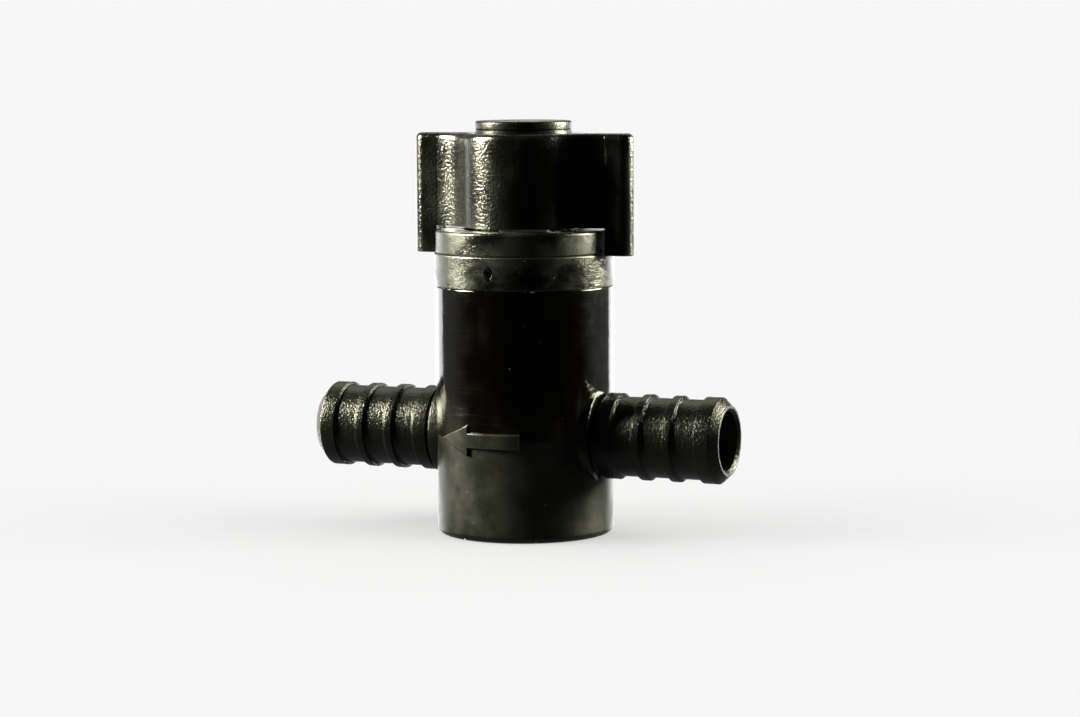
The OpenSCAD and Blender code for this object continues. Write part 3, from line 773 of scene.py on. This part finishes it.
def bonnetOutline():
    s = ringSizes
    skirt, ceiling = neckRadius + s["skirtGap"], neckTop + s["skirtGap"]
    plugTop, floorTop = s["plug"], s["plugLow"] + s["plugFloor"]
    thrust, bushSeat = s["plugLow"] + s["thrust"], s["towerTop"] - s["bushDepth"]
    grooveLow, grooveHigh = s["grooveAt"] - s["grooveHalf"], s["grooveAt"] + s["grooveHalf"]
    corners = [
        (skirt, s["low"], 0),
        (ringRadius, s["low"], s["bottomEdge"]),
        (ringRadius, s["high"], s["edge"]),
        (s["core"], s["high"], 0),
        (s["core"], floorTop, 0),
        (s["tower"], floorTop, 0),
        (s["tower"], s["towerTop"], s["edge"]),
        (s["bush"], s["towerTop"], 0),
        (s["bush"], bushSeat, 0),
        (fits["guide"], bushSeat, 0),
        (fits["guide"], thrust, 0),
        (s["collarRoom"], thrust, 0),
        (s["collarRoom"], s["plugLow"], 0),
        (plugTop, s["plugLow"], fits["free"]),
        (plugTop, grooveLow, 0),
        (plugTop - s["groove"], grooveLow, 0),
        (plugTop - s["groove"], grooveHigh, 0),
        (plugTop, grooveHigh, 0),
        (plugTop, ceiling, 0),
        (skirt, ceiling, 0),
    ]
    return softOutline(corners)


stopSizes = {
    "outer": cadWide["stop_ring"],
    "high": cadTop["stop_ring"],
    "floor": ringJoint + 1.5,
    "recess": 8.7,
    "bore": fits["guide"] + fits["free"],
    "spigot": ringSizes["core"] - fits["push"],
    "spigotWall": 0.9,
    "spigotDepth": 1.5,
    "bottomLip": 0.12,
    "topEdge": 0.42,
    "recessEdge": 0.15,
    "stopInner": 7.0,
    "stopStart": 22,           # degrees from the pipe, where each stop begins
    "stopSweep": 46,
    "lugSweep": 39,
    "lugGap": fits["free"],
}


def stopRingOutline():
    s = stopSizes
    lip = s["bottomLip"]
    corners = [
        (s["bore"], ringJoint, 0),
        (s["spigot"] - s["spigotWall"], ringJoint, 0),
        (s["spigot"] - s["spigotWall"], ringJoint - s["spigotDepth"], 0),
        (s["spigot"], ringJoint - s["spigotDepth"], 0),
        (s["spigot"], ringJoint, 0),
        (s["outer"] - lip, ringJoint, 0),
        (s["outer"] - lip / 6, ringJoint + lip, 0),
        (s["outer"], ringJoint + 2 * lip, 0),
        (s["outer"], s["high"], s["topEdge"]),
        (s["recess"], s["high"], s["recessEdge"]),
        (s["recess"], s["floor"], 0),
        (s["bore"], s["floor"], 0),
    ]
    return softOutline(corners)


dimpleSizes = {"width": 1.3, "height": 2.0, "depth": 0.6}


def dimpleTool():
    # oval punch that leaves a pit in the front of the lower ring
    s = dimpleSizes
    bm = bmesh.new()
    bmesh.ops.create_uvsphere(bm, u_segments=28, v_segments=18, radius=mm)
    bmesh.ops.scale(bm, verts=bm.verts, vec=(s["width"] / 2, s["depth"], s["height"] / 2))
    bmesh.ops.translate(bm, verts=bm.verts, vec=(0, -ringRadius * mm, (rim + ringJoint) / 2 * mm))
    return meshFrom(bm, "dimpleTool")


halfTurns = (0, 180)           # stops and lugs sit opposite each other


def sectorBlock(outer, inside, low, high, start, sweep):
    # block bent round the stem axis, for the stops and the lugs
    steps = 16
    plan = []
    for radius, order in ((outer, range(steps + 1)), (inside, range(steps, -1, -1))):
        for i in order:
            turn = math.radians(start + sweep * i / steps)
            plan.append((radius * math.cos(turn), radius * math.sin(turn)))
    return loft("sector", [(plan, low), (plan, high)])


def stopBlocks():
    # two blocks in the recess, which the lugs of the knob meet at both ends of the turn
    s = stopSizes
    outer, low, high = s["recess"] + fits["overlap"], s["floor"] - fits["overlap"], s["high"] - s["lugGap"]
    return [sectorBlock(outer, s["stopInner"], low, high, s["stopStart"] + turn, s["stopSweep"])
            for turn in halfTurns]


print("shaping the rings")
bonnetMesh = carve(lathe("bonnetRing", bonnetOutline(), ringSizes["segments"]), [dimpleTool()])
shadeByAngle(bonnetMesh, ringSizes["crispAngle"])
bonnetPiece = newPiece("bonnetRing", bonnetMesh, "housing", [ringPlastic])
weightNormals(bonnetPiece)
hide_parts("bonnet")

stopMesh = carve(lathe("stopRing", stopRingOutline(), ringSizes["segments"]), stopBlocks(), "UNION")
shadeByAngle(stopMesh, ringSizes["crispAngle"])
stopPiece = newPiece("stopRing", stopMesh, "housing", [ringPlastic])
weightNormals(stopPiece)
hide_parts("stop_ring")


knobSizes = {
    "hub": 8.6,
    "wing": cadWide["handle"],
    "thickness": 3.2,
    "creaseX": ringRadius + 0.1,
    "bottom": cadTop["stop_ring"] + fits["free"],
    "top": cadTop["handle"],
    "tabLow": cadLow["handle"],
    "tabInner": ringRadius + 0.25,
    "topEdge": 0.95,
    "creaseTurn": 5.0,         # degrees between the hollow and the flat of the wing
    "creaseCut": 0.05,         # depth of the fine line where they meet
    "core": 7.0,
    "topWall": 2.15,
    "post": 5.28,
    "well": 3.9,
    "wellDepth": 3.65,
    "web": 1.9,
    "screwHole": 1.58,
    "socket": fits["guide"],
    "socketFlat": 2.78,
    "lugOuter": 8.4,
    "lowEdge": 0.04,
    "edgeSteps": 8,
    "layerHeight": 1.2,
    "tipSteps": 14,
    "flatSteps": 6,
    "hollowSteps": 30,
    "hubSteps": 24,
    "socketSteps": 20,
    "tabSegments": 160,
    "holeSegments": 48,
    "segments": 96,
    "crispAngle": 24,
}


def arcPoints(centre, radius, start, end, steps):
    points = []
    for i in range(steps + 1):
        turn = start + (end - start) * i / steps
        points.append((centre[0] + radius * math.cos(turn), centre[1] + radius * math.sin(turn)))
    return points


def knobPlan(inset):
    # plan outline of hub, hollows and wings, moved in evenly by inset
    s = knobSizes
    half, crease, hub = s["thickness"] / 2, math.radians(s["creaseTurn"]), s["hub"]
    x0, y0 = s["creaseX"], half - s["creaseCut"]
    sinC, cosC = math.sin(crease), math.cos(crease)
    # hollow that leaves the flat at a slight angle and is tangent to the hub
    radius = (x0 * x0 + y0 * y0 - hub * hub) / (2 * (hub - x0 * sinC - y0 * cosC))
    centre = (x0 + radius * sinC, y0 + radius * cosC)
    hubTurn = math.atan2(centre[1], centre[0])
    hollowRadius = radius + inset
    flatIn, cutIn = half - inset, y0 - inset
    creaseIn = centre[0] - math.sqrt(max(hollowRadius ** 2 - (centre[1] - cutIn) ** 2, 0))
    tipCentre = s["wing"] - half
    quarter = arcPoints((tipCentre, 0), flatIn, 0, math.pi / 2, s["tipSteps"])
    flatRun = creaseIn + s["creaseCut"] - tipCentre
    quarter += [(tipCentre + flatRun * i / s["flatSteps"], flatIn) for i in range(1, s["flatSteps"] + 1)]
    startTurn = math.atan2(cutIn - centre[1], creaseIn - centre[0])
    quarter += arcPoints(centre, hollowRadius, startTurn, hubTurn - math.pi, s["hollowSteps"])
    quarter += arcPoints((0, 0), hub - inset, hubTurn, math.pi / 2, s["hubSteps"])[1:]
    left = [(-x, y) for x, y in reversed(quarter[:-1])]
    upper = quarter + left
    lower = [(x, -y) for x, y in reversed(upper[1:-1])]
    return upper + lower


def socketPlan():
    # double-D hole for the flats of the stem
    s = knobSizes
    corner = math.asin(s["socketFlat"] / s["socket"])
    return [point for side in (0, math.pi)
            for point in arcPoints((0, 0), s["socket"], side - corner, side + corner, s["socketSteps"])]


def knobShell():
    s = knobSizes
    edge, low, lowEdge = s["topEdge"], s["tabLow"], s["lowEdge"]
    layers = [(knobPlan(lowEdge), low), (knobPlan(0), low + lowEdge)]
    straight = s["top"] - edge - low - lowEdge
    count = int(straight / s["layerHeight"])
    layers += [(knobPlan(0), low + lowEdge + straight * i / count) for i in range(1, count + 1)]
    for i in range(1, s["edgeSteps"] + 1):
        turn = math.pi / 2 * i / s["edgeSteps"]
        layers.append((knobPlan(edge * (1 - math.cos(turn))), s["top"] - edge * (1 - math.sin(turn))))
    past, into = fits["cutPast"], fits["cutInto"]
    under, wellFloor = s["bottom"] - past, s["top"] - s["wellDepth"]
    socketTop, coreTop = wellFloor - s["web"], s["top"] - s["topWall"]
    core = [(s["post"], under), (s["core"], under), (s["core"], coreTop), (s["post"], coreTop)]
    plan = socketPlan()
    return carve(loft("knob", layers), [
        roundCutter(s["tabInner"], low - past, s["bottom"], s["tabSegments"]),
        lathe("core", core, s["segments"]),
        roundCutter(s["well"], wellFloor, s["top"] + past, s["segments"]),
        roundCutter(s["screwHole"], socketTop - into, wellFloor + into, s["holeSegments"]),
        loft("socket", [(plan, under), (plan, socketTop)]),
    ])


def knobLugs():
    # two lugs under the knob, which run between the stops
    sweep = stopSizes["lugSweep"]
    low, high = stopSizes["floor"] + stopSizes["lugGap"], knobSizes["bottom"] + fits["overlap"]
    return [sectorBlock(knobSizes["lugOuter"], knobSizes["core"] - fits["overlap"], low, high,
                        turn - sweep / 2, sweep) for turn in halfTurns]


print("shaping the knob")
knobMesh = carve(knobShell(), knobLugs(), "UNION")
shadeByAngle(knobMesh, knobSizes["crispAngle"])
knob = newPiece("knobShell", knobMesh, "knob", [knobPlastic])
weightNormals(knob)
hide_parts("handle")

capSizes = {
    "radius": cadWide["handle_cap"],
    "waist": 0.16,
    "flange": 0.26,
    "waistHigh": 0.42,
    "slopeHigh": 0.62,
    "plate": 0.3,
    "edge": 0.34,
    "skirt": 1.1,
    "wall": 0.8,
    "segments": 192,
    "crispAngle": 35,
}


def capOutline():
    s = capSizes
    base, top = knobSizes["top"], cadTop["handle_cap"]
    skirtOuter, edge = knobSizes["well"] - fits["push"], s["edge"]
    corners = [
        (0, base + s["plate"], 0),
        (0, top, 0),
        (s["radius"], top, edge),
        (s["radius"], base + s["slopeHigh"], edge / 4),
        (s["radius"] - s["waist"], base + s["waistHigh"], edge / 6),
        (s["radius"] - s["waist"], base + s["plate"], edge / 12),
        (s["radius"], base + s["flange"], edge / 8),
        (s["radius"], base, 0),
        (skirtOuter, base, 0),
        (skirtOuter, base - s["skirt"], edge / 4),
        (skirtOuter - s["wall"], base - s["skirt"], 0),
        (skirtOuter - s["wall"], base + s["plate"], 0),
    ]
    return softOutline(corners, 5)


print("shaping the cap")
capMesh = lathe("knobCap", capOutline(), capSizes["segments"])
shadeByAngle(capMesh, capSizes["crispAngle"])
capPiece = newPiece("knobCap", capMesh, "knob", [capPlastic])
weightNormals(capPiece)
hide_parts("handle_cap")


crumbSizes = {
    "spread": 0.05,
    "clusters": 14,
    "clusterTurn": 0.07,       # radians
    "sunk": 0.25,              # share of its size that a crumb sits in the wall
    "flat": 0.6,
    "wide": (0.7, 1.9),
    "tall": (0.35, 0.8),
    "lumps": 0.55,
    "lumpScale": 1.7,
    "crispAngle": 60,
    "seed": 7,
}
crumbRuns = {
    "seamCrumbs": {"count": 64, "sizes": (0.03, 0.14), "radius": bodyRadius + 0.04, "height": rim - 0.06,
                   "material": inner["torn"], "slotName": "grey_ring"},
    "footCrumbs": {"count": 48, "sizes": (0.03, 0.08), "radius": bodyRadius - 0.45, "height": 0.16,
                   "material": inner["torn"], "slotName": "black_body"},
    "partingCrumbs": {"count": 26, "sizes": (0.03, 0.07), "radius": bodyRadius - 0.02, "height": portHeight,
                      "material": satinPlastic, "slotName": "black_body"},
}


def crumb(bm, at, size, rnd):
    # one torn flake, never two alike
    s = crumbSizes
    made = bmesh.ops.create_icosphere(bm, subdivisions=2, radius=size * mm)["verts"]
    shift = Vector((rnd.uniform(0, 50), rnd.uniform(0, 50), rnd.uniform(0, 50)))
    stretch = Vector((s["flat"], rnd.uniform(*s["wide"]), rnd.uniform(*s["tall"])))
    turn = Matrix.Rotation(math.atan2(at[1], at[0]), 3, "Z")
    for v in made:
        rough = 1 + s["lumps"] * noise.noise(v.co / (size * mm) * s["lumpScale"] + shift)
        v.co = turn @ (v.co * stretch) * rough + Vector(at) * mm


def mouldCrumbs(name, seed, count, sizes, radius, height, material, slotName):
    # a ring of flakes in loose clusters
    s = crumbSizes
    rnd = random.Random(seed)
    bm = bmesh.new()
    clusters = [rnd.uniform(0, 2 * math.pi) for _ in range(s["clusters"])]
    for _ in range(count):
        turn = rnd.gauss(rnd.choice(clusters), s["clusterTurn"])
        size = sizes[0] + (sizes[1] - sizes[0]) * rnd.random() ** 2
        r = radius - size * s["sunk"]
        lift = rnd.uniform(-s["spread"], s["spread"])
        crumb(bm, (r * math.cos(turn), r * math.sin(turn), height + lift), size, rnd)
    mesh = meshFrom(bm, name)
    shadeByAngle(mesh, s["crispAngle"])
    newPiece(name, mesh, "housing", [material])


for place, (name, run) in enumerate(crumbRuns.items()):
    mouldCrumbs(name, crumbSizes["seed"] + place, **run)
print("mould crumbs scattered")

flashSizes = {"sunk": 0.05, "rise": 0.012, "waver": 0.012, "waverScale": 1.3, "foot": 0.02, "tip": 0.006}


def barbFlash(side, face):
    # hair-thin fin where the mould halves met, along one side of a barb
    s = flashSizes
    bm = bmesh.new()
    rows = []
    shank = barbSizes["crest"] - barbSizes["crestRise"]
    first, last = barbSizes["bossFace"], barbSizes["end"] - barbSizes["taper"]
    for radius, along in barbOutline():
        if radius < shank - fits["hair"] or along < first or along > last:
            continue
        lift = s["rise"] + s["waver"] * noise.noise(Vector((along * s["waverScale"], face, side * 3)))
        low, high = radius - s["sunk"], radius + lift
        row = [bm.verts.new((side * along * mm, face * r * mm, (portHeight + z) * mm))
               for r, z in ((low, -s["foot"]), (high, -s["tip"]), (high, s["tip"]), (low, s["foot"]))]
        rows.append(row)
    for low, high in zip(rows, rows[1:]):
        for i in range(4):
            j = (i + 1) % 4
            bm.faces.new((low[i], low[j], high[j], high[i]))
    bm.faces.new(rows[0])
    bm.faces.new(rows[-1])
    return meshFrom(bm, "barbFlash")


for side, sideName in ((1, "Inlet"), (-1, "Outlet")):
    for face, faceName in ((-1, "Front"), (1, "Back")):
        fin = barbFlash(side, face)
        newPiece("barbFlash" + sideName + faceName, fin, "housing", [barbPlastic])
print("mould flash added")


slotFinish = {
    "black_body": satinPlastic,
    "black_knob": knobPlastic,
    "grey_ring": ringPlastic,
    "seal_rubber": inner["seal"],
    "seat_plastic": inner["seat"],
    "ball_plastic": inner["ball"],
    "stem_plastic": inner["stem"],
    "brass": inner["brass"],
    "steel": inner["steel"],
}
for entry in record["subparts"]:
    for materialSlot in frame["nodes"][entry["node"]].material_slots:
        materialSlot.material = slotFinish[entry["material_slot"]]
print("working parts finished")


studio = {
    "backdrop": 0.93,
    "cameraAt": (169.0, -393.0, 69.3),           # millimetres
    "cameraLooks": (-0.3883, 0.9157, -0.1034),
    "cameraRoll": -0.0057,     # radians
    "lens": 100.33,
    "sensor": 36,
    "aimHeight": 0.03,         # metres, as are the distances and sizes of the lights and the paper
    "lightDistance": 0.50,
    "leftHeight": 0.25,
    "rightHeight": 0.20,
    "leftSize": (0.18, 0.32),
    "rightSize": (0.28, 0.26),
    "leftTurn": -91.0,         # degrees from the camera, seen from above
    "rightTurn": 103.0,
    "leftPower": 30.0,
    "rightPower": 22.0,
    "topPower": 0.7,
    "topSize": (0.5, 0.3),
    "lightTint": (1.0, 1.01, 0.72),
    "wallTurn": 4.0,           # degrees that the pale wall lies to the left behind the valve
    "wallEdge": (0.705, 0.740),
    "wallGlow": 3.4,
    "wallTopFade": (0.02, 0.14),
    "wallFootFade": (0.22, 0.36),
    "sideGlow": 0.22,          # dim room beside and behind the valve
    "sideFade": (-0.25, 0.3),
    "floorGlow": 0.25,         # what the undersides see of the table
    "floorFade": (0.35, 0.9),
    "roomGlow": 0.62,
    "sunTurn": 78.0,
    "sunHeight": 35.0,
    "sunSpread": 45.0,
    "paperSize": 3.0,
    "paperGap": 0.00001,
    "paperShine": 0.5,         # share of the paper's brightness that shadows do not touch
}


def floorPiece():
    bm = bmesh.new()
    bmesh.ops.create_grid(bm, x_segments=8, y_segments=8, size=studio["paperSize"])
    f = Finish("studio paper")
    tone = f.noise(6, 2.0)
    bright, dull = studio["backdrop"] * studio["paperShine"], studio["backdrop"] * (1 - studio["paperShine"])
    darker, paler = (dull * 0.995, dull * 0.995, dull * 0.99), (dull * 1.005, dull * 1.005, dull)
    f.colour(f.blendColour(tone, darker, paler))
    f.shader.inputs["Emission Color"].default_value = (1, 1, 0.995, 1)
    f.shader.inputs["Emission Strength"].default_value = bright
    f.shader.inputs["Roughness"].default_value = 1.0
    f.shader.inputs["Specular IOR Level"].default_value = 0.0
    piece = newPiece("studioFloor", meshFrom(bm, "studioFloor"), None, [f.material])
    piece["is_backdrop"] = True
    piece.visible_glossy = False
    piece.location.z = -studio["paperGap"]
    return piece


def studioWorld(looks):
    # white to the camera and for soft light; reflections see a pale wall behind the valve and a faint table
    world = bpy.data.worlds.new("studio")
    world.use_nodes = True
    tree = world.node_tree
    background = tree.nodes["Background"]
    background.inputs["Color"].default_value = (1, 1, 1, 1)
    direction = tree.nodes.new("ShaderNodeTexCoord").outputs["Generated"]

    def glowTowards(towards, low, high, glow):
        facing = tree.nodes.new("ShaderNodeVectorMath")
        facing.operation = "DOT_PRODUCT"
        facing.inputs[1].default_value = towards
        tree.links.new(direction, facing.inputs[0])
        return rangeNode(tree, facing.outputs["Value"], low, high, 0.0, glow)

    level = Vector((looks.x, looks.y, 0)).normalized()
    wallWay = Matrix.Rotation(math.radians(studio["wallTurn"]), 3, "Z") @ level
    wall = glowTowards(wallWay, *studio["wallEdge"], studio["wallGlow"])
    table = glowTowards((0, 0, -1), *studio["floorFade"], studio["floorGlow"])
    room = glowTowards(looks, *studio["sideFade"], studio["sideGlow"])
    # the wall is a low band, so the tops and undersides of the barbs keep their dark outlines
    over = glowTowards((0, 0, 1), *studio["wallTopFade"], 1.0)
    under = glowTowards((0, 0, -1), *studio["wallFootFade"], 1.0)
    band = mathsNode(tree, "SUBTRACT", 1.0, mathsNode(tree, "MAXIMUM", over, under))
    lowWall = mathsNode(tree, "MULTIPLY", wall, band)
    strength = mathsNode(tree, "MAXIMUM", lowWall, mathsNode(tree, "MAXIMUM", table, room))
    lightPath = tree.nodes.new("ShaderNodeLightPath")
    for ray, glow in (("Is Diffuse Ray", studio["roomGlow"]), ("Is Camera Ray", studio["backdrop"])):
        pick = tree.nodes.new("ShaderNodeMix")
        pick.data_type = "FLOAT"
        tree.links.new(lightPath.outputs[ray], pick.inputs["Factor"])
        tree.links.new(strength, pick.inputs["A"])
        pick.inputs["B"].default_value = glow
        strength = pick.outputs["Result"]
    tree.links.new(strength, background.inputs["Strength"])
    # the glow meant for reflections must not reach the paper
    world.cycles.sampling_method = "NONE"
    bpy.context.scene.world = world


def addLight(name, kind, place, aim, power, receivers):
    data = bpy.data.lights.new(name, kind)
    data.energy = power
    data.color = studio["lightTint"]
    light = bpy.data.objects.new(name, data)
    bpy.context.scene.collection.objects.link(light)
    light.location = place
    light.rotation_euler = (aim - place).to_track_quat("-Z", "Y").to_euler()
    light.light_linking.receiver_collection = receivers
    return data


def around(turn, distance, height):
    # place at a turn from the camera's side, seen from above
    angle = math.radians(cameraTurn + turn)
    return Vector((distance * math.sin(angle), -distance * math.cos(angle), height))


def softbox(name, turn, height, size, power):
    data = addLight(name, "AREA", around(turn, studio["lightDistance"], height), middle, power, litPieces)
    data.shape = "RECTANGLE"
    data.size, data.size_y = size


def paperSun(name, turn):
    # even side light on the paper, which gives the long faint shadows beside the foot
    rise = math.radians(studio["sunHeight"])
    power = (1 - studio["roomGlow"]) * math.pi / 2 / math.sin(rise)
    place = around(turn, math.cos(rise), math.sin(rise))
    data = addLight(name, "SUN", place, Vector((0, 0, 0)), power, paperOnly)
    data.color = (1, 1, 1)
    data.angle = math.radians(studio["sunSpread"])


looks = Vector(studio["cameraLooks"]).normalized()
cameraTurn = math.degrees(math.atan2(-looks.x, looks.y))
floor = floorPiece()
studioWorld(looks)
middle = Vector((0, 0, studio["aimHeight"]))
# the softboxes light the valve only, the suns the paper only
litPieces = bpy.data.collections.new("lit pieces")
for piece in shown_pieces():
    litPieces.objects.link(piece)
paperOnly = bpy.data.collections.new("paper only")
paperOnly.objects.link(floor)
softbox("leftSoftbox", studio["leftTurn"], studio["leftHeight"], studio["leftSize"], studio["leftPower"])
softbox("rightSoftbox", studio["rightTurn"], studio["rightHeight"], studio["rightSize"], studio["rightPower"])
softbox("topSoftbox", 180, studio["lightDistance"], studio["topSize"], studio["topPower"])
paperSun("leftSun", -studio["sunTurn"])
paperSun("rightSun", studio["sunTurn"])

cameraData = bpy.data.cameras.new("camera")
cameraData.lens = studio["lens"]
cameraData.sensor_width = studio["sensor"]
camera = bpy.data.objects.new("camera", cameraData)
bpy.context.scene.collection.objects.link(camera)
camera.location = Vector(studio["cameraAt"]) * mm
upright = looks.to_track_quat("-Z", "Y").to_matrix()
camera.rotation_euler = (upright @ Matrix.Rotation(studio["cameraRoll"], 3, "Z")).to_euler()
bpy.context.scene.camera = camera
bpy.context.scene.view_settings.view_transform = "Standard"
print("studio set")
